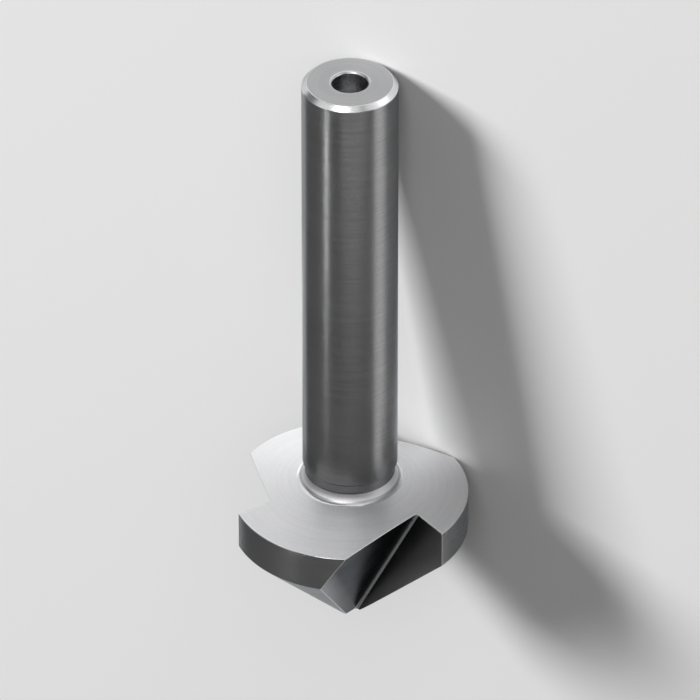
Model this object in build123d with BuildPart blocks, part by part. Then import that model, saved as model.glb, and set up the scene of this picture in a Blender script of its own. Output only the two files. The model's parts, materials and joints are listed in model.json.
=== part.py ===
from build123d import *

import os
from math import acos, asin, atan, atan2, cos, degrees, hypot, isclose, radians, sin, tan

# A chamfer mill: a solid three-flute cutter for 90 degree countersinks on a plain round shank.
# It is turned and ground from one bar, so it is one solid. It lies as it comes to rest on a flat
# surface: on the two corners of one flute's gap and on the end of the shank.

# Head, in millimetres and degrees, from the flat of the point up to the shoulder behind the teeth
overall_length = 67.0
head_diameter = 25.0
tip_diameter = 2.2
point_angle = 90.0
land_height = 4.15
shoulder_angle = 14.25

# Neck and shank
shank_diameter = 10.0
shank_end_chamfer = 0.5
neck_length = 2.1
neck_relief = 0.3
neck_fillet = 1.4

# Drilled centre hole in the end of the shank
centre_hole_diameter = 3.7
centre_hole_depth = 6.0
centre_hole_chamfer = 0.2
drill_point_angle = 118.0

# Flutes: each is a straight V groove between the rake face of one tooth and the back of the next.
# The rake face is parallel to the axis and stands rake_offset behind it. The root of the V starts
# flute_start beside the axis and leans out by flute_slope. The back leans past square to the rake face.
flute_count = 3
flute_slope = 27.4
flute_start = 0.43
rake_offset = 0.45
tooth_back_lean = 2.6
flute_root_radius = 0.3

# Radii and heights of the upright cutter: its axis is Z, with the flat of the point at Z = 0
head_radius = head_diameter / 2
tip_radius = tip_diameter / 2
shank_radius = shank_diameter / 2
neck_radius = shank_radius - neck_relief
hole_radius = centre_hole_diameter / 2

land_base_z = (head_radius - tip_radius) / tan(radians(point_angle / 2))
rim_z = land_base_z + land_height
shoulder_top_z = rim_z + (head_radius - neck_radius) * tan(radians(shoulder_angle))
neck_top_z = shoulder_top_z + neck_length
hole_bottom_z = overall_length - centre_hole_depth
hole_point_z = hole_bottom_z - hole_radius / tan(radians(drill_point_angle / 2))

slope = radians(flute_slope)
back_lean = radians(tooth_back_lean)


def gap_corners(radius, height):
    """Angles of a flute's cutting corner and heel corner, clockwise from its rake direction."""
    lean_across = tan(back_lean) / cos(slope)
    heel_distance = flute_start + height * tan(slope) - rake_offset * lean_across
    cutting_corner = -asin(rake_offset / radius)
    heel_corner = atan(lean_across) + acos(heel_distance / hypot(1, lean_across) / radius)
    return cutting_corner, heel_corner


# The first flute's gap is centred on +X at the rim, which is the side that is laid down
cutting_corner, heel_corner = gap_corners(head_radius, rim_z)
first_rake_angle = (cutting_corner + heel_corner) / 2
gap_half_angle = (heel_corner - cutting_corner) / 2


def flute_plane(rake_angle):
    """Plane square to a flute's root, clear above the head, with its normal down along the root."""
    outward = Vector(cos(rake_angle), sin(rake_angle), 0)
    clockwise = Vector(sin(rake_angle), -cos(rake_angle), 0)
    up = Vector(0, 0, 1)
    root_start = outward * flute_start - clockwise * rake_offset
    root_direction = outward * sin(slope) + up * cos(slope)
    return Plane(
        origin=root_start + root_direction * overall_length,
        x_dir=outward * cos(slope) - up * sin(slope),
        z_dir=-root_direction,
    )


with BuildPart() as upright:
    with BuildSketch(Plane.XZ):
        with BuildLine():
            Polyline(
                (0, 0),
                (tip_radius, 0),
                (head_radius, land_base_z),
                (head_radius, rim_z),
                (neck_radius, shoulder_top_z),
                (neck_radius, neck_top_z - neck_relief),
                (shank_radius, neck_top_z),
                (shank_radius, overall_length),
                (0, overall_length),
                close=True,
            )
        make_face()
    revolve(axis=Axis.Z)
    circles = upright.edges().filter_by(GeomType.CIRCLE).sort_by(Axis.Z)
    neck_root = circles.filter_by(lambda edge: isclose(edge.radius, neck_radius))[0]
    fillet(neck_root, radius=neck_fillet)
    chamfer(upright.edges().sort_by(Axis.Z)[-1], length=shank_end_chamfer)

    # Centre hole, with the cone that the drill leaves at its bottom
    with BuildSketch(Plane.XZ):
        with BuildLine():
            Polyline(
                (0, overall_length),
                (hole_radius + centre_hole_chamfer, overall_length),
                (hole_radius, overall_length - centre_hole_chamfer),
                (hole_radius, hole_bottom_z),
                (0, hole_point_z),
                close=True,
            )
        make_face()
    revolve(axis=Axis.Z, mode=Mode.SUBTRACT)

    # Flutes, each run out past the head at both ends
    for flute in range(flute_count):
        rake_angle = first_rake_angle + radians(360 / flute_count * flute)
        with BuildSketch(flute_plane(rake_angle)) as groove:
            with BuildLine():
                Polyline(
                    (0, 0),
                    (overall_length, 0),
                    (overall_length, overall_length),
                    (-overall_length * tan(back_lean), overall_length),
                    close=True,
                )
            make_face()
            fillet(groove.vertices().sort_by_distance((0, 0))[0], radius=flute_root_radius)
        extrude(amount=2 * overall_length, mode=Mode.SUBTRACT)

# At rest the rim's two gap corners and the lower edge of the shank's end chamfer are level
gap_corner_drop = head_radius * cos(gap_half_angle)
rest_tilt = atan2(gap_corner_drop - shank_radius, overall_length - shank_end_chamfer - rim_z)
rest_plane = Plane(
    origin=(0, 0, 0),
    x_dir=(-sin(rest_tilt), 0, -cos(rest_tilt)),
    z_dir=(cos(rest_tilt), 0, -sin(rest_tilt)),
)
lying = upright.part.moved(rest_plane.location)
lying_box = lying.bounding_box()
floor_centre = Vector(lying_box.center().X, lying_box.center().Y, lying_box.min.Z)

with BuildPart() as chamfer_mill:
    add(lying.moved(Location(-floor_centre)))
chamfer_mill.part.label = "chamfer_mill"

os.makedirs("parts", exist_ok=True)
export_step(chamfer_mill.part, "parts/chamfer_mill.step")

print(f"lies tilted {degrees(rest_tilt):.3f} degrees, volume {chamfer_mill.part.volume:.1f} mm3")
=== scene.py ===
import json
from math import acos, asin, atan, atan2, cos, hypot, pi, radians, sin, tan

import bmesh
import bpy
from mathutils import Matrix, Vector


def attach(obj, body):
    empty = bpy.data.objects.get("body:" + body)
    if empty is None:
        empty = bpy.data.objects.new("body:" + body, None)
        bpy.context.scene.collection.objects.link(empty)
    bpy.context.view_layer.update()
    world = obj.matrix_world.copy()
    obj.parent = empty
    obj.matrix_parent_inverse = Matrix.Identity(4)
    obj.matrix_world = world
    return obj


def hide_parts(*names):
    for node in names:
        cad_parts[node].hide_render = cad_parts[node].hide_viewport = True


# A chamfer mill of bare ground steel, lying on a pale floor and seen from above its shank end.
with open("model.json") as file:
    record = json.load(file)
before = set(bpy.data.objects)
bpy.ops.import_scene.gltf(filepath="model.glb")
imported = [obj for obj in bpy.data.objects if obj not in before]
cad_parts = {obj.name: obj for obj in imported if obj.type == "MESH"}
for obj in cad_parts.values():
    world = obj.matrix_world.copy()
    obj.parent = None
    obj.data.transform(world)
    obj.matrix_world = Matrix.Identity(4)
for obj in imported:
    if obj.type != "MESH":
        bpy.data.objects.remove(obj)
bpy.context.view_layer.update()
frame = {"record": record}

MM = 0.001

# Sizes of the cutter, with lengths in millimetres. Its axis is Z, and the flat of its point is at
# Z = 0.
OVERALL_LENGTH = 67.0
HEAD_RADIUS = 12.5
TIP_RADIUS = 1.1
POINT_HALF_ANGLE = radians(45.0)
LAND_HEIGHT = 4.15
SHOULDER_ANGLE = radians(14.25)
SHANK_RADIUS = 5.0
SHANK_END_CHAMFER = 0.5
NECK_LENGTH = 2.1
NECK_RELIEF = 0.3
NECK_FILLET = 1.4
HOLE_RADIUS = 1.85
HOLE_DEPTH = 6.0
HOLE_CHAMFER = 0.2
DRILL_HALF_ANGLE = radians(59.0)
FLUTE_COUNT = 3
FLUTE_SLOPE = radians(27.4)
FLUTE_START = 0.43
RAKE_OFFSET = 0.45
BACK_LEAN = radians(2.6)
ROOT_RADIUS = 0.3

NECK_RADIUS = SHANK_RADIUS - NECK_RELIEF
LAND_BASE_Z = (HEAD_RADIUS - TIP_RADIUS) / tan(POINT_HALF_ANGLE)
RIM_Z = LAND_BASE_Z + LAND_HEIGHT
SHOULDER_TOP_Z = RIM_Z + (HEAD_RADIUS - NECK_RADIUS) * tan(SHOULDER_ANGLE)
SHANK_BASE_Z = SHOULDER_TOP_Z + NECK_LENGTH
TOOTH_PITCH = 2 * pi / FLUTE_COUNT

# The lean of a flute's back as it shows in a cut square to the axis
LEAN_ACROSS = tan(BACK_LEAN) / cos(FLUTE_SLOPE)

# How finely the mesh is divided: steps round a tooth and a flute's root, and rings along each part
TOOTH_DIVISIONS = 36
ROOT_DIVISIONS = 6
CONE_RINGS = 20
LAND_RINGS = 4
SHOULDER_RINGS = 6
INNER_SHOULDER_RINGS = 5
SHANK_RINGS = 14
END_FACE_RINGS = 3
BORE_RINGS = 4
DRILL_CONE_RINGS = 2

# Rings of the fillet by finish, from the shoulder to the neck. The edge finish is the bright line
# at its foot, and the cone rings by the neck are painted shade, like the neck's.
FILLET_FINISHES = (("shoulder", 1), ("edge", 2), ("turned", 2), ("shoulder", 5), ("cone", 2))

# Length of the first and the last step round a tooth
END_STEP = 0.1

# How far the rings over a shoulder dip towards the axis, and the share of a ring that the dip
# takes to grow
SHOULDER_DIP = 0.6
DIP_SHARE = 0.25

# Where the last full ring lies in the drilled cone, as a share of the hole's radius
DRILL_CONE_END = 0.25

# Times that a length is halved to find where a line of the root leaves the head
HALVINGS = 50

# The edge break that grinding leaves: its width, its steps and the least angle that gets one
EDGE_BREAK = 0.06
EDGE_BREAK_STEPS = 2
SHARP_ANGLE = radians(28)


# Shape of the teeth and flutes

def mixed(start, end, share):
    """The value at a share of the way from start to end."""
    return start + (end - start) * share


def turned_point(radius, angle, height):
    """Point of a turned form at a radius, an angle and a height."""
    return Vector((radius * cos(angle), radius * sin(angle), height))


def shoulder_height(radius):
    """Height of the sloping shoulder at a radius."""
    return RIM_Z + (HEAD_RADIUS - radius) * tan(SHOULDER_ANGLE)


def shoulder_radius(height):
    """Radius of the sloping shoulder at a height."""
    return HEAD_RADIUS - (height - RIM_Z) / tan(SHOULDER_ANGLE)


def gap_edges(radius, height):
    """Angles of a flute's cutting edge and heel edge, counterclockwise from its rake direction."""
    heel_distance = FLUTE_START + height * tan(FLUTE_SLOPE) - RAKE_OFFSET * LEAN_ACROSS
    cutting_edge = asin(RAKE_OFFSET / radius)
    heel_edge = -atan(LEAN_ACROSS) - acos(heel_distance / hypot(1, LEAN_ACROSS) / radius)
    return cutting_edge, heel_edge


def first_rake_angle():
    """Rake direction of the first flute, whose gap is centred on +X at the rim."""
    return -sum(gap_edges(HEAD_RADIUS, RIM_Z)) / 2


def cutter_place():
    """The cutter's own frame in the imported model, found from the shank's mount."""
    shank = next(mount for mount in frame["record"]["mounts"] if mount["name"] == "shank")
    axis = Vector(shank["axis"])
    shank_middle = OVERALL_LENGTH - SHANK_END_CHAMFER - shank["dims"]["length_mm"] / 2
    tip = Vector(shank["pos_m"]) - axis * shank_middle * MM
    lowest_side = Vector((axis.z, 0, -axis.x))
    across = axis.cross(lowest_side)
    turn = Matrix((lowest_side, across, axis)).transposed().to_4x4()
    return Matrix.Translation(tip) @ turn


CUTTER_PLACE = cutter_place()


class Flute:
    """One straight V groove: its directions, and the lines that run along its rounded root."""

    def __init__(self, number):
        self.angle = first_rake_angle() + number * TOOTH_PITCH
        self.outward = Vector((cos(self.angle), sin(self.angle), 0))
        self.clockwise = Vector((sin(self.angle), -cos(self.angle), 0))
        up = Vector((0, 0, 1))
        self.root = self.outward * FLUTE_START - self.clockwise * RAKE_OFFSET
        self.along = self.outward * sin(FLUTE_SLOPE) + up * cos(FLUTE_SLOPE)
        self.across = self.outward * cos(FLUTE_SLOPE) - up * sin(FLUTE_SLOPE)

    def on_line(self, line, travel):
        """Point at a travel along a line of the root, given by its two places across the flute."""
        across, clockwise = line
        section = self.across * across + self.clockwise * clockwise
        return self.root + section + self.along * travel

    def tip_end(self, line):
        """Where a line of the root leaves through the flat of the point."""
        return self.on_line(line, line[0] * tan(FLUTE_SLOPE))

    def shoulder_end(self, line):
        """Where a line of the root leaves through the shoulder, found by halving."""
        low, high = 0.0, OVERALL_LENGTH
        for _ in range(HALVINGS):
            middle = (low + high) / 2
            point = self.on_line(line, middle)
            if point.xy.length < shoulder_radius(point.z):
                low = middle
            else:
                high = middle
        return self.on_line(line, (low + high) / 2)

    def azimuth(self, point):
        """Counterclockwise angle of a point near this flute."""
        return self.angle - atan2(point.dot(self.clockwise), point.dot(self.outward))

    def grinding(self, point):
        """Place of a point along and across the grinding lines, which follow the root."""
        offset = point - self.root
        return offset.dot(self.along), offset.dot(self.across) - offset.dot(self.clockwise)


def root_lines():
    """The rounded root in a flute's section, from the rake face to the back of the next tooth."""
    sweep = pi / 2 - BACK_LEAN
    tangent = ROOT_RADIUS / tan((pi / 2 + BACK_LEAN) / 2)
    lines = []
    for step in range(ROOT_DIVISIONS + 1):
        angle = -pi / 2 - sweep * step / ROOT_DIVISIONS
        lines.append((tangent + ROOT_RADIUS * cos(angle), ROOT_RADIUS + ROOT_RADIUS * sin(angle)))
    return lines


# Mesh of the cutter

def add_points(mesh, points):
    """Adds points to the mesh and gives its vertices."""
    return [mesh.verts.new(point) for point in points]


def add_face(mesh, corners, finish, flute=None):
    """Adds a face with its finish, and on a flute with its place on the grinding lines."""
    face = mesh.faces.new(corners)
    face.material_index = FINISH_NUMBERS[finish]
    face.smooth = True
    if flute:
        layer = mesh.loops.layers.uv["grinding"]
        for loop in face.loops:
            loop[layer].uv = flute.grinding(loop.vert.co)


def add_band(mesh, lower, upper, finish, closed=False):
    """Quads between two rings of points."""
    count = len(lower)
    for index in range(count if closed else count - 1):
        after = (index + 1) % count
        add_face(mesh, (lower[index], lower[after], upper[after], upper[index]), finish)


def tooth_profile():
    """Radius, height and finish of the rings over a tooth, from the point to the rim."""
    rings = []
    for step in range(CONE_RINGS + 1):
        share = step / CONE_RINGS
        radius = mixed(TIP_RADIUS, HEAD_RADIUS, share)
        rings.append((radius, mixed(0.0, LAND_BASE_Z, share), "cone"))
    for step in range(1, LAND_RINGS + 1):
        rings.append((HEAD_RADIUS, mixed(LAND_BASE_Z, RIM_Z, step / LAND_RINGS), "land"))
    return rings


def tooth_shares(arc):
    """Even shares over a tooth, but for a short step of fixed length at each end."""
    end_share = END_STEP / arc
    shares = [0.0]
    for step in range(TOOTH_DIVISIONS - 1):
        shares.append(mixed(end_share, 1 - end_share, step / (TOOTH_DIVISIONS - 2)))
    return shares + [1.0]


def tooth_ring(flute, radius, height):
    """Points over one tooth from its cutting edge to its heel, at one radius and height."""
    cutting_edge, heel_edge = gap_edges(radius, height)
    first = flute.angle + cutting_edge
    last = flute.angle + TOOTH_PITCH + heel_edge
    shares = tooth_shares(radius * (last - first))
    return [turned_point(radius, mixed(first, last, share), height) for share in shares]


def heel_point(flute, share):
    """Point on the heel edge over the shoulder, from its rim corner to the root of the flute."""
    corner = turned_point(HEAD_RADIUS, flute.angle + gap_edges(HEAD_RADIUS, RIM_Z)[1], RIM_Z)
    corner_side = corner.dot(flute.clockwise) + RAKE_OFFSET
    side = mixed(corner_side, root_lines()[-1][1], share)
    return flute.shoulder_end((-side * tan(BACK_LEAN), side))


def shoulder_ring(flute, next_flute, down):
    """Points over a tooth's shoulder. Each ring dips towards the axis before the heel edge."""
    cutting_radius = mixed(HEAD_RADIUS, flute.shoulder_end(root_lines()[0]).xy.length, down)
    heel = heel_point(next_flute, down)
    first = flute.angle + gap_edges(cutting_radius, shoulder_height(cutting_radius))[0]
    last = flute.azimuth(heel)
    arc = heel.xy.length * (last - first)
    points = []
    for share in tooth_shares(arc):
        dip = down * min(SHOULDER_DIP, (1 - share) * arc) * min(1.0, share / DIP_SHARE)
        radius = mixed(cutting_radius, heel.xy.length, share) - dip
        points.append(turned_point(radius, mixed(first, last, share), shoulder_height(radius)))
    return points


def add_roots(mesh, flutes):
    """The rounded root strip of each flute. Gives its points at the tip and at the shoulder."""
    lines = root_lines()
    roots = []
    for flute in flutes:
        tips = add_points(mesh, [flute.tip_end(line) for line in lines])
        ends = add_points(mesh, [flute.shoulder_end(line) for line in lines])
        for step in range(ROOT_DIVISIONS):
            corners = (tips[step], tips[step + 1], ends[step + 1], ends[step])
            add_face(mesh, corners, "root", flute)
        roots.append((tips, ends))
    return roots


def add_tooth(mesh, flute, next_flute, root, next_root):
    """Cone, land and shoulder of the tooth after a flute. Gives its rings of points."""
    rings = []
    finishes = []
    for radius, height, finish in tooth_profile():
        rings.append(add_points(mesh, tooth_ring(flute, radius, height)))
        finishes.append(finish)
    for step in range(1, SHOULDER_RINGS):
        rings.append(add_points(mesh, shoulder_ring(flute, next_flute, step / SHOULDER_RINGS)))
        finishes.append("shoulder")
    inner = add_points(mesh, shoulder_ring(flute, next_flute, 1.0)[1:-1])
    rings.append([root[1][0], *inner, next_root[1][-1]])
    finishes.append("shoulder")
    for lower, upper, finish in zip(rings, rings[1:], finishes[1:]):
        add_band(mesh, lower, upper, finish)
    return rings


def add_flute_faces(mesh, flutes, teeth, roots):
    """The flat rake face and the flat back of the tooth before it, in each flute."""
    for number, flute in enumerate(flutes):
        tips = roots[number][0]
        rake = [tips[0]] + [ring[0] for ring in teeth[number]]
        back = [tips[-1]] + [ring[-1] for ring in teeth[number - 1]]
        add_face(mesh, rake, "rake", flute)
        add_face(mesh, back, "flute", flute)


def add_tip_flat(mesh, teeth, roots):
    """The flat of the point, round the tips of the teeth and the roots between them."""
    outline = []
    for number, tooth in enumerate(teeth):
        outline += tooth[0]
        outline += reversed(roots[(number + 1) % FLUTE_COUNT][0])
    add_face(mesh, outline, "cone")


def shoulder_loop(flutes, teeth, roots):
    """The closed ring of points that passes the inner ends of the flutes, with their angles."""
    points = []
    angles = []
    for number, tooth in enumerate(teeth):
        next_root = roots[(number + 1) % FLUTE_COUNT][1]
        third = tooth[-1] + next_root[-2:0:-1]
        points += third
        angles += [flutes[number].azimuth(point.co) for point in third]
    return points, angles


def even_angles(angles):
    """Evenly spaced angles that keep the middle of each flute's inner end where it is."""
    third = TOOTH_DIVISIONS + ROOT_DIVISIONS
    middle = TOOTH_DIVISIONS + ROOT_DIVISIONS // 2
    step = 2 * pi / len(angles)
    spaced = []
    for index in range(len(angles)):
        centre = index - index % third + middle
        spaced.append(angles[centre] + (index - centre) * step)
    return spaced


def fillet_profile():
    """Radius, height and finish of the rings of the fillet, from the shoulder to the neck."""
    centre_radius = NECK_RADIUS + NECK_FILLET
    centre_height = shoulder_height(centre_radius) + NECK_FILLET / cos(SHOULDER_ANGLE)
    start = -pi / 2 - SHOULDER_ANGLE
    finishes = ["shoulder"]
    for finish, rings in FILLET_FINISHES:
        finishes += [finish] * rings
    profile = []
    for step, finish in enumerate(finishes):
        angle = mixed(start, -pi, step / (len(finishes) - 1))
        radius = centre_radius + NECK_FILLET * cos(angle)
        profile.append((radius, centre_height + NECK_FILLET * sin(angle), finish))
    return profile


def divided(start, end, finish, steps):
    """Rings between two places on the profile, without the first."""
    rings = []
    for step in range(1, steps + 1):
        share = step / steps
        rings.append((mixed(start[0], end[0], share), mixed(start[1], end[1], share), finish))
    return rings


def body_profile(loop_radius):
    """Radius, height and finish of the full rings, from the shoulder to the bottom of the hole."""
    chamfer_base = OVERALL_LENGTH - SHANK_END_CHAMFER
    hole_bottom = OVERALL_LENGTH - HOLE_DEPTH
    cone_radius = HOLE_RADIUS * DRILL_CONE_END
    cone_height = hole_bottom - (HOLE_RADIUS - cone_radius) / tan(DRILL_HALF_ANGLE)
    loop = (loop_radius, shoulder_height(loop_radius))
    foot, *fillet = fillet_profile()
    profile = divided(loop, foot, "shoulder", INNER_SHOULDER_RINGS) + fillet
    stops = (
        # The neck and its relief take the dark cone finish as painted shade in the recess between
        # the shank and the shoulder.
        ((NECK_RADIUS, SHANK_BASE_Z - NECK_RELIEF), "cone", 1),
        ((SHANK_RADIUS, SHANK_BASE_Z), "cone", 1),
        ((SHANK_RADIUS, chamfer_base), "shank", SHANK_RINGS),
        ((SHANK_RADIUS - SHANK_END_CHAMFER, OVERALL_LENGTH), "bright", 1),
        ((HOLE_RADIUS + HOLE_CHAMFER, OVERALL_LENGTH), "turned", END_FACE_RINGS),
        ((HOLE_RADIUS, OVERALL_LENGTH - HOLE_CHAMFER), "turned", 1),
        ((HOLE_RADIUS, hole_bottom), "bore", BORE_RINGS),
        ((cone_radius, cone_height), "bore", DRILL_CONE_RINGS),
    )
    for stop, finish, steps in stops:
        profile += divided(profile[-1], stop, finish, steps)
    return profile


def add_body(mesh, loop, loop_angles):
    """Shoulder inside the flutes, neck, shank, end face and centre hole."""
    loop_radius = min(point.co.xy.length for point in loop)
    spaced = even_angles(loop_angles)
    below = loop
    for number, (radius, height, finish) in enumerate(body_profile(loop_radius), start=1):
        share = min(number / INNER_SHOULDER_RINGS, 1.0)
        points = []
        for old, new in zip(loop_angles, spaced):
            points.append(turned_point(radius, mixed(old, new, share), height))
        above = add_points(mesh, points)
        add_band(mesh, below, above, finish, closed=True)
        below = above
    point_height = OVERALL_LENGTH - HOLE_DEPTH - HOLE_RADIUS / tan(DRILL_HALF_ANGLE)
    drill_point = mesh.verts.new((0, 0, point_height))
    for index, vertex in enumerate(below):
        add_face(mesh, (vertex, below[(index + 1) % len(below)], drill_point), "bore")


def cutter_mesh():
    """The whole cutter as one closed mesh in millimetres, before its edges are broken."""
    mesh = bmesh.new()
    mesh.loops.layers.uv.new("grinding")
    flutes = [Flute(number) for number in range(FLUTE_COUNT)]
    roots = add_roots(mesh, flutes)
    teeth = []
    for number, flute in enumerate(flutes):
        after = (number + 1) % FLUTE_COUNT
        teeth.append(add_tooth(mesh, flute, flutes[after], roots[number], roots[after]))
    add_flute_faces(mesh, flutes, teeth, roots)
    add_tip_flat(mesh, teeth, roots)
    add_body(mesh, *shoulder_loop(flutes, teeth, roots))
    bmesh.ops.recalc_face_normals(mesh, faces=mesh.faces)
    made = bpy.data.meshes.new("chamfer_mill_blank")
    mesh.to_mesh(made)
    mesh.free()
    return made


def break_edges(piece):
    """Small rounded edge breaks in the edge's own finish, and clean normals on the flat faces."""
    bevel = piece.modifiers.new("edge_break", "BEVEL")
    bevel.width = EDGE_BREAK
    bevel.segments = EDGE_BREAK_STEPS
    bevel.limit_method = "ANGLE"
    bevel.angle_limit = SHARP_ANGLE
    bevel.use_clamp_overlap = False
    bevel.material = FINISH_NUMBERS["edge"]
    normals = piece.modifiers.new("flat_faces", "WEIGHTED_NORMAL")
    normals.keep_sharp = True
    depsgraph = bpy.context.evaluated_depsgraph_get()
    finished = bpy.data.meshes.new_from_object(piece.evaluated_get(depsgraph), depsgraph=depsgraph)
    piece.modifiers.clear()
    piece.data = finished
    finished.name = "chamfer_mill_ground"


def darken_relief_edges(mesh):
    """The edge breaks of the neck's relief get the dark finish of the neck, painted shade in place
    of a light line there.
    """
    for face in mesh.polygons:
        by_relief = abs(face.center.z - SHANK_BASE_Z) < 2 * NECK_RELIEF
        if by_relief and face.material_index == FINISH_NUMBERS["edge"]:
            face.material_index = FINISH_NUMBERS["cone"]


def build_cutter():
    """The cutter as one piece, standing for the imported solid."""
    piece = bpy.data.objects.new("ground_chamfer_mill", cutter_mesh())
    bpy.context.scene.collection.objects.link(piece)
    for make_finish in FINISHES.values():
        piece.data.materials.append(make_finish())
    break_edges(piece)
    darken_relief_edges(piece.data)
    piece.data.transform(CUTTER_PLACE @ Matrix.Scale(MM, 4))
    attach(piece, "root")
    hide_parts("chamfer_mill")


# Nodes that the surface effects and the finishes are made of

def feed(tree, socket, value):
    """Sets a socket to a plain number, or links another node's output to it."""
    if isinstance(value, (int, float)):
        socket.default_value = value
    else:
        tree.links.new(value, socket)


def maths(tree, operation, *values):
    """A Math node fed by sockets or plain numbers."""
    node = tree.nodes.new("ShaderNodeMath")
    node.operation = operation
    for socket, value in zip(node.inputs, values):
        feed(tree, socket, value)
    return node.outputs[0]


def joined(tree, *parts):
    """A vector from three sockets or plain numbers."""
    node = tree.nodes.new("ShaderNodeCombineXYZ")
    for socket, value in zip(node.inputs, parts):
        feed(tree, socket, value)
    return node.outputs[0]


def parted(tree, vector):
    """The three parts of a vector."""
    node = tree.nodes.new("ShaderNodeSeparateXYZ")
    tree.links.new(vector, node.inputs[0])
    return node.outputs


def noise(tree, vector, scale, detail, roughness=0.5, w=None):
    """A Noise texture's value, in four dimensions where w is given."""
    node = tree.nodes.new("ShaderNodeTexNoise")
    node.noise_dimensions = "4D" if w else "3D"
    feed(tree, node.inputs["Scale"], scale)
    node.inputs["Detail"].default_value = detail
    node.inputs["Roughness"].default_value = roughness
    tree.links.new(vector, node.inputs["Vector"])
    if w:
        tree.links.new(w, node.inputs["W"])
    return node.outputs[0]


def ranged(tree, value, between, gives):
    """A value that runs through the pair it gives as the input runs between another pair."""
    node = tree.nodes.new("ShaderNodeMapRange")
    tree.links.new(value, node.inputs["Value"])
    node.inputs["From Min"].default_value, node.inputs["From Max"].default_value = between
    node.inputs["To Min"].default_value, node.inputs["To Max"].default_value = gives
    return node.outputs[0]


def in_cutter_frame(tree):
    """The point's place in the cutter's own frame, with Z along the axis, in metres."""
    own = CUTTER_PLACE.inverted()
    mapping = tree.nodes.new("ShaderNodeMapping")
    mapping.inputs["Location"].default_value = own.translation
    mapping.inputs["Rotation"].default_value = own.to_euler()
    place = tree.nodes.new("ShaderNodeTexCoord").outputs["Object"]
    tree.links.new(place, mapping.inputs["Vector"])
    return mapping.outputs[0]


# Shared surface effects

def new_group(name, inputs, outputs):
    """A shader node group with number inputs (name and usual value) and number outputs."""
    group = bpy.data.node_groups.new(name, "ShaderNodeTree")
    for label, value in inputs:
        socket = group.interface.new_socket(label, in_out="INPUT", socket_type="NodeSocketFloat")
        socket.default_value = value
    for label in outputs:
        group.interface.new_socket(label, in_out="OUTPUT", socket_type="NodeSocketFloat")
    return group, group.nodes.new("NodeGroupInput"), group.nodes.new("NodeGroupOutput")


def use_group(tree, name, values):
    """Places a shared group in a material with its own values, and gives its outputs."""
    node = tree.nodes.new("ShaderNodeGroup")
    node.node_tree = bpy.data.node_groups[name]
    for label, value in values.items():
        node.inputs[label].default_value = value
    return node.outputs


def turning_lines_group():
    """Fine lines that run round the axis, as turning and cylindrical grinding leave them, and the
    distance from the tip along the axis in millimetres."""
    group, given, out = new_group(
        "turning_lines",
        (("Lines per mm", 9.0), ("Breaks per mm", 0.12)),
        ("Lines", "From tip"),
    )
    x, y, z = parted(group, in_cutter_frame(group))
    squares = maths(group, "ADD", maths(group, "MULTIPLY", x, x), maths(group, "MULTIPLY", y, y))
    radius = maths(group, "SQRT", squares)
    fine = maths(group, "MULTIPLY", given.outputs["Lines per mm"], 1 / MM)
    slow = maths(group, "MULTIPLY", given.outputs["Breaks per mm"], 1 / MM)
    place = joined(
        group,
        maths(group, "MULTIPLY", x, slow),
        maths(group, "MULTIPLY", y, slow),
        maths(group, "MULTIPLY", z, fine),
    )
    across_the_end = maths(group, "MULTIPLY", radius, fine)
    lines = noise(group, place, scale=1.0, detail=3.0, roughness=0.6, w=across_the_end)
    group.links.new(lines, out.inputs["Lines"])
    group.links.new(maths(group, "MULTIPLY", z, 1 / MM), out.inputs["From tip"])


def grinding_lines_group():
    """Straight fine lines along a flute, and the distances from its root and along it from the
    tip in millimetres."""
    group, given, out = new_group(
        "grinding_lines",
        (("Lines per mm", 7.0), ("Breaks per mm", 0.15)),
        ("Lines", "From root", "From tip"),
    )
    place = group.nodes.new("ShaderNodeUVMap")
    place.uv_map = "grinding"
    along, across, _ = parted(group, place.outputs[0])
    stretched = joined(
        group,
        maths(group, "MULTIPLY", along, given.outputs["Breaks per mm"]),
        maths(group, "MULTIPLY", across, given.outputs["Lines per mm"]),
        0.0,
    )
    lines = noise(group, stretched, scale=1.0, detail=3.0, roughness=0.6)
    group.links.new(lines, out.inputs["Lines"])
    group.links.new(maths(group, "ABSOLUTE", across), out.inputs["From root"])
    group.links.new(along, out.inputs["From tip"])


def polish_haze_group():
    """Soft cloudy differences in polish, with a fine speckle."""
    group, given, out = new_group(
        "polish_haze",
        (("Size in mm", 6.0), ("Specks per mm", 6.0)),
        ("Haze", "Speckle"),
    )
    place = in_cutter_frame(group)
    cloud_scale = maths(group, "DIVIDE", 1 / MM, given.outputs["Size in mm"])
    speck_scale = maths(group, "MULTIPLY", 1 / MM, given.outputs["Specks per mm"])
    group.links.new(noise(group, place, cloud_scale, detail=4.0), out.inputs["Haze"])
    group.links.new(noise(group, place, speck_scale, detail=2.0), out.inputs["Speckle"])


# Finishes

# How steel reflects at a grazing angle, as a share of a plain mirror's
EDGE_TINT = (0.58, 0.6, 0.62, 1.0)

# Steel is a touch bluer than grey
BLUE_SHARE = 1.012

# Shares of each effect in the tone, and the middle part of their sum and of the haze that is used
LINES_SHARE = 0.4
SPECKLE_SHARE = 0.35
HAZE_SHARE = 0.25
MARKS_SPREAD = (0.38, 0.62)
HAZE_SPREAD = (0.3, 0.7)

# Height of the speckle beside the lines in the relief
SPECKLE_HEIGHT = 0.35

# Painted shade: how far it reaches from the neck in millimetres, how much its borders lean along
# the flutes, and the least of the tone that it leaves on a back face
NECK_SHADE_REACH = 4.5
RAKE_SHADE_LEAN = 2.0
BACK_SHADE_LEAN = 1.3
DARKEST_BACK = 0.13


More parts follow.
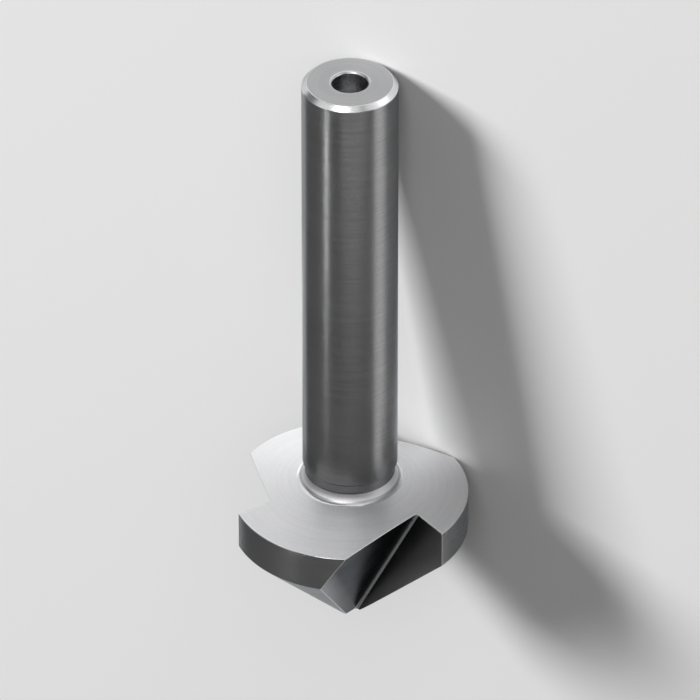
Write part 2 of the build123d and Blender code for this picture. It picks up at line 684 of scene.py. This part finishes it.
def around_the_axis(tree):
    """Direction of the lines round the axis, for the stretched gloss of turned and ground steel."""
    place = tree.nodes.new("ShaderNodeTexCoord").outputs["Object"]
    offset = tree.nodes.new("ShaderNodeVectorMath")
    offset.operation = "SUBTRACT"
    offset.inputs[1].default_value = CUTTER_PLACE.translation
    tree.links.new(place, offset.inputs[0])
    cross = tree.nodes.new("ShaderNodeVectorMath")
    cross.operation = "CROSS_PRODUCT"
    cross.inputs[0].default_value = CUTTER_PLACE.col[2].xyz
    tree.links.new(offset.outputs[0], cross.inputs[1])
    turn = tree.nodes.new("ShaderNodeVectorTransform")
    turn.vector_type = "VECTOR"
    turn.convert_from = "OBJECT"
    turn.convert_to = "WORLD"
    tree.links.new(cross.outputs[0], turn.inputs[0])
    return turn.outputs[0]


def steel(name, tone, rough, lines, lines_per_mm, haze_mm, relief, stretch=0.0, painted_shade=None):
    """Bare steel. Tone and rough are each a low and a high value. Lines is the group that draws
    the fine lines, haze_mm the size of the clouds and relief the depth of the lines in
    millimetres, and stretch draws the gloss out round the axis. The last argument, painted shade,
    gives how much of the tone is left, from the outputs of the lines."""
    material = bpy.data.materials.new(name)
    material.use_nodes = True
    tree = material.node_tree
    shader = tree.nodes["Principled BSDF"]
    shader.inputs["Metallic"].default_value = 1.0
    shader.inputs["Anisotropic"].default_value = stretch
    shader.inputs["Specular Tint"].default_value = EDGE_TINT
    marks = use_group(tree, lines, {"Lines per mm": lines_per_mm})
    clouds = use_group(tree, "polish_haze", {"Size in mm": haze_mm})
    hazed = maths(tree, "MULTIPLY", clouds["Haze"], HAZE_SHARE)
    clouded = maths(tree, "MULTIPLY_ADD", clouds["Speckle"], SPECKLE_SHARE, hazed)
    marked = maths(tree, "MULTIPLY_ADD", marks["Lines"], LINES_SHARE, clouded)
    value = ranged(tree, marked, between=MARKS_SPREAD, gives=tone)
    # Painted shade darkens the tone where a finish has it.
    if painted_shade:
        value = maths(tree, "MULTIPLY", value, painted_shade(tree, marks))
    colour = joined(tree, value, value, maths(tree, "MULTIPLY", value, BLUE_SHARE))
    tree.links.new(colour, shader.inputs["Base Color"])
    roughness = ranged(tree, clouds["Haze"], between=HAZE_SPREAD, gives=rough)
    tree.links.new(roughness, shader.inputs["Roughness"])
    height = maths(tree, "MULTIPLY_ADD", clouds["Speckle"], SPECKLE_HEIGHT, marks["Lines"])
    bump = tree.nodes.new("ShaderNodeBump")
    bump.inputs["Distance"].default_value = relief * MM
    tree.links.new(height, bump.inputs["Height"])
    tree.links.new(bump.outputs[0], shader.inputs["Normal"])
    if stretch:
        tree.links.new(around_the_axis(tree), shader.inputs["Tangent"])
    return material


def neck_painted_shade(tree, marks):
    """Painted shade: the shank's tone falls a little beside the neck, dimming the shoulder's
    reflection there.
    """
    by_neck = (SHANK_BASE_Z, SHANK_BASE_Z + NECK_SHADE_REACH)
    return ranged(tree, marks["From tip"], between=by_neck, gives=(0.62, 1.0))


def leaning_place(tree, marks, lean):
    """Distance from the tip along the root, less the distance from the root times the lean."""
    return maths(tree, "MULTIPLY_ADD", marks["From root"], -lean, marks["From tip"])


def rake_painted_shade(tree, marks):
    """Painted shade on the rake faces: dark at the root, lighter towards the cutting edge, and a
    little lighter towards the point.
    """
    place = leaning_place(tree, marks, RAKE_SHADE_LEAN)
    by_edge = ranged(tree, marks["From root"], between=(0.5, 4.5), gives=(0.3, 1.1))
    by_point = ranged(tree, place, between=(3.0, 8.0), gives=(1.3, 0.8))
    return maths(tree, "MULTIPLY", by_edge, by_point)


def back_painted_shade(tree, marks):
    """Painted shade on the back faces: light in the corner between the heel and the point, and dark
    at the root and towards the shoulder."""
    place = leaning_place(tree, marks, BACK_SHADE_LEAN)
    by_heel = ranged(tree, marks["From root"], between=(0.0, 10.0), gives=(0.4, 1.5))
    by_point = ranged(tree, place, between=(-2.4, 1.1), gives=(1.0, 0.08))
    return maths(tree, "MAXIMUM", maths(tree, "MULTIPLY", by_heel, by_point), DARKEST_BACK)


def shank_steel():
    """The shank, ground satin with fine lines round it, with painted shade beside the neck."""
    return steel(
        "shank_steel",
        tone=(0.41, 0.53),
        rough=(0.2, 0.27),
        lines="turning_lines",
        lines_per_mm=6.0,
        haze_mm=9.0,
        relief=0.0016,
        stretch=0.5,
        painted_shade=neck_painted_shade,
    )


def turned_steel():
    """The turned end face with the chamfer of its hole, and a band of the fillet."""
    return steel(
        "turned_steel",
        tone=(0.51, 0.59),
        rough=(0.3, 0.38),
        lines="turning_lines",
        lines_per_mm=3.5,
        haze_mm=6.0,
        relief=0.0012,
        stretch=0.3,
    )


def bright_steel():
    """The polished chamfer of the shank's end."""
    return steel(
        "bright_steel",
        tone=(0.78, 0.88),
        rough=(0.2, 0.28),
        lines="turning_lines",
        lines_per_mm=5.0,
        haze_mm=3.0,
        relief=0.001,
        stretch=0.3,
    )


def shoulder_steel():
    """The shoulder behind the teeth and most of the fillet, turned satin."""
    return steel(
        "shoulder_steel",
        tone=(0.84, 0.92),
        rough=(0.46, 0.54),
        lines="turning_lines",
        lines_per_mm=3.0,
        haze_mm=6.0,
        relief=0.0012,
        stretch=0.3,
    )


def land_steel():
    """The cylindrically ground lands round the head."""
    return steel(
        "land_steel",
        tone=(0.43, 0.51),
        rough=(0.22, 0.3),
        lines="turning_lines",
        lines_per_mm=9.0,
        haze_mm=5.0,
        relief=0.0012,
        stretch=0.3,
    )


def cone_steel():
    """The ground cone with the flat of the point, and the neck with its relief, all rather dark. On
    the neck the dark tone is painted shade.
    """
    return steel(
        "cone_steel",
        tone=(0.26, 0.34),
        rough=(0.22, 0.3),
        lines="turning_lines",
        lines_per_mm=9.0,
        haze_mm=4.0,
        relief=0.0012,
        stretch=0.3,
    )


def rake_steel():
    """Rake faces, ground along the flute, with painted shade towards the root."""
    return steel(
        "rake_steel",
        tone=(0.3, 0.38),
        rough=(0.2, 0.28),
        lines="grinding_lines",
        lines_per_mm=7.0,
        haze_mm=5.0,
        relief=0.0012,
        painted_shade=rake_painted_shade,
    )


def flute_steel():
    """Back faces of the flutes, ground along their length, in a darker tone than the rake faces as
    painted shade, and with more painted shade at the root and towards the shoulder.
    """
    return steel(
        "flute_steel",
        tone=(0.22, 0.3),
        rough=(0.2, 0.28),
        lines="grinding_lines",
        lines_per_mm=7.0,
        haze_mm=5.0,
        relief=0.0012,
        painted_shade=back_painted_shade,
    )


def root_steel():
    """The rounded root of a flute, in a bright tone that paints a highlight line along it."""
    return steel(
        "root_steel",
        tone=(0.66, 0.8),
        rough=(0.24, 0.34),
        lines="grinding_lines",
        lines_per_mm=7.0,
        haze_mm=3.0,
        relief=0.0012,
    )


def bore_steel():
    """The drilled wall of the centre hole, with deeper lines than the outside."""
    return steel(
        "bore_steel",
        tone=(0.6, 0.75),
        rough=(0.22, 0.3),
        lines="turning_lines",
        lines_per_mm=5.0,
        haze_mm=2.0,
        relief=0.002,
    )


def edge_steel():
    """Broken edges, worn bright, and the bright line at the foot of the fillet."""
    return steel(
        "edge_steel",
        tone=(0.8, 0.9),
        rough=(0.14, 0.22),
        lines="turning_lines",
        lines_per_mm=5.0,
        haze_mm=1.5,
        relief=0.001,
    )


# The finishes by name, in the order of the cutter's material slots
FINISHES = {
    "shank": shank_steel,
    "turned": turned_steel,
    "bright": bright_steel,
    "shoulder": shoulder_steel,
    "land": land_steel,
    "cone": cone_steel,
    "rake": rake_steel,
    "flute": flute_steel,
    "root": root_steel,
    "bore": bore_steel,
    "edge": edge_steel,
}
FINISH_NUMBERS = {finish: number for number, finish in enumerate(FINISHES)}


# Floor, light and camera, in metres

FLOOR_HALF_SIDE = 10.0
FLOOR_COLOUR = (0.7, 0.7, 0.7, 1.0)
FLOOR_ROUGHNESS = 0.9
FLOOR_SPECULAR = 0.2
WORLD_COLOUR = (0.14, 0.14, 0.14, 1.0)

# Places that the lamps face. The two cards lie on the floor and face up.
CENTRE = (0.0, 0.0, 0.0)
PAST_END = (0.04, 0.0, 0.004)
OVER_HEAD_CARD = (-0.014, 0.022, 0.0205)
OVER_END_CARD = (0.04, -0.011, 0.0205)
FROM_BELOW = (0.0, 0.0, -1.0)

# The lamps: name, direction from the aim, distance, width, length, power in watts, and aim.
# Bare steel shows only what it mirrors, so the softboxes light the floor and draw the shadow, and
# all the other lamps are seen only as reflections in the steel.
SOFTBOXES = (
    ("softbox", (0.42, 0.72, 0.56), 1.6, 0.55, 0.65, 36.0, CENTRE),
    ("front_softbox", (0.7, -0.45, 0.55), 1.6, 1.0, 1.0, 8.0, CENTRE),
)
REFLECTED_LAMPS = (
    ("softbox_cloth", (0.65, 0.5, 0.55), 1.5, 0.8, 1.0, 1.5, CENTRE),
    ("overhead_strip", (0.6, -0.05, 0.8), 1.2, 2.2, 0.25, 1.0, CENTRE),
    ("head_card", FROM_BELOW, 0.02, 0.018, 0.018, 0.0006, OVER_HEAD_CARD),
    ("end_card", FROM_BELOW, 0.02, 0.008, 0.01, 0.00015, OVER_END_CARD),
    ("front_cloth", (0.87, -0.36, 0.34), 1.2, 0.7, 1.1, 1.3, CENTRE),
    ("end_lamp", (0.868, -0.087, 0.489), 0.6, 0.16, 0.16, 0.6, CENTRE),
    ("strip_lamp", (-0.477, 0.3015, 0.8255), 0.35, 0.021, 0.03, 0.009, PAST_END),
    ("fill_lamp", (-0.51, -0.655, 0.558), 0.3, 0.38, 0.024, 0.009, PAST_END),
)

# The camera: its lens and the picture's width in pixels, its sensor and its target in
# millimetres, its own axes, and its distance from the target
LENS_IN_PIXELS = 10000
PICTURE_WIDTH = 700
SENSOR_WIDTH = 36.0
CAMERA_TARGET = (-0.227, 0.0, 8.959)
CAMERA_RIGHT = (-0.0709, -0.8108, -0.5811)
CAMERA_BACK = (0.6499, -0.4795, 0.5897)
CAMERA_DISTANCE = 1.04293


def floor_material():
    """Plain pale floor."""
    material = bpy.data.materials.new("pale_floor")
    material.use_nodes = True
    shader = material.node_tree.nodes["Principled BSDF"]
    shader.inputs["Base Color"].default_value = FLOOR_COLOUR
    shader.inputs["Roughness"].default_value = FLOOR_ROUGHNESS
    shader.inputs["Specular IOR Level"].default_value = FLOOR_SPECULAR
    return material


def build_floor():
    """One flat face under the cutter, far wider than the picture."""
    half = FLOOR_HALF_SIDE
    mesh = bpy.data.meshes.new("floor")
    corners = [(-half, -half, 0), (half, -half, 0), (half, half, 0), (-half, half, 0)]
    mesh.from_pydata(corners, [], [(0, 1, 2, 3)])
    floor = bpy.data.objects.new("floor", mesh)
    mesh.materials.append(floor_material())
    bpy.context.scene.collection.objects.link(floor)


def build_lamp(name, direction, distance, width, length, power, aim, seen_in_gloss):
    """An area lamp that faces its aim from a direction. Its length lies nearest to X."""
    light = bpy.data.lights.new(name, "AREA")
    light.shape = "RECTANGLE"
    light.size = length
    light.size_y = width
    light.energy = power
    lamp = bpy.data.objects.new(name, light)
    bpy.context.scene.collection.objects.link(lamp)
    back = Vector(direction).normalized()
    along = Vector((1, 0, 0))
    side = (along - back * along.dot(back)).normalized()
    axes = Matrix((side, back.cross(side), back)).transposed().to_4x4()
    lamp.matrix_world = Matrix.Translation(Vector(aim) + back * distance) @ axes
    lamp.visible_camera = False
    lamp.visible_glossy = seen_in_gloss
    lamp.visible_diffuse = not seen_in_gloss


def build_lamps():
    """The lamps that only light, and those that only show as reflections."""
    for lamp in SOFTBOXES:
        build_lamp(*lamp, seen_in_gloss=False)
    for lamp in REFLECTED_LAMPS:
        build_lamp(*lamp, seen_in_gloss=True)


def build_world():
    """Even dim light from all round."""
    world = bpy.data.worlds.new("studio")
    bpy.context.scene.world = world
    world.use_nodes = True
    background = world.node_tree.nodes["Background"]
    background.inputs["Color"].default_value = WORLD_COLOUR


def build_camera():
    """The photograph's view: 35 degrees above the square-on view, with the shank end up in the
    picture."""
    right = Vector(CAMERA_RIGHT).normalized()
    back = Vector(CAMERA_BACK).normalized()
    up = back.cross(right).normalized()
    axes = Matrix((up.cross(back), up, back)).transposed().to_4x4()
    place = Vector(CAMERA_TARGET) * MM + back * CAMERA_DISTANCE
    camera = bpy.data.objects.new("camera", bpy.data.cameras.new("camera"))
    camera.data.sensor_width = SENSOR_WIDTH
    camera.data.lens = LENS_IN_PIXELS / PICTURE_WIDTH * SENSOR_WIDTH
    camera.data.clip_start = 0.01
    camera.matrix_world = Matrix.Translation(place) @ axes
    bpy.context.scene.collection.objects.link(camera)
    bpy.context.scene.camera = camera


turning_lines_group()
grinding_lines_group()
polish_haze_group()
build_cutter()
build_floor()
build_lamps()
build_world()
build_camera()
bpy.context.scene.view_settings.view_transform = "Standard"
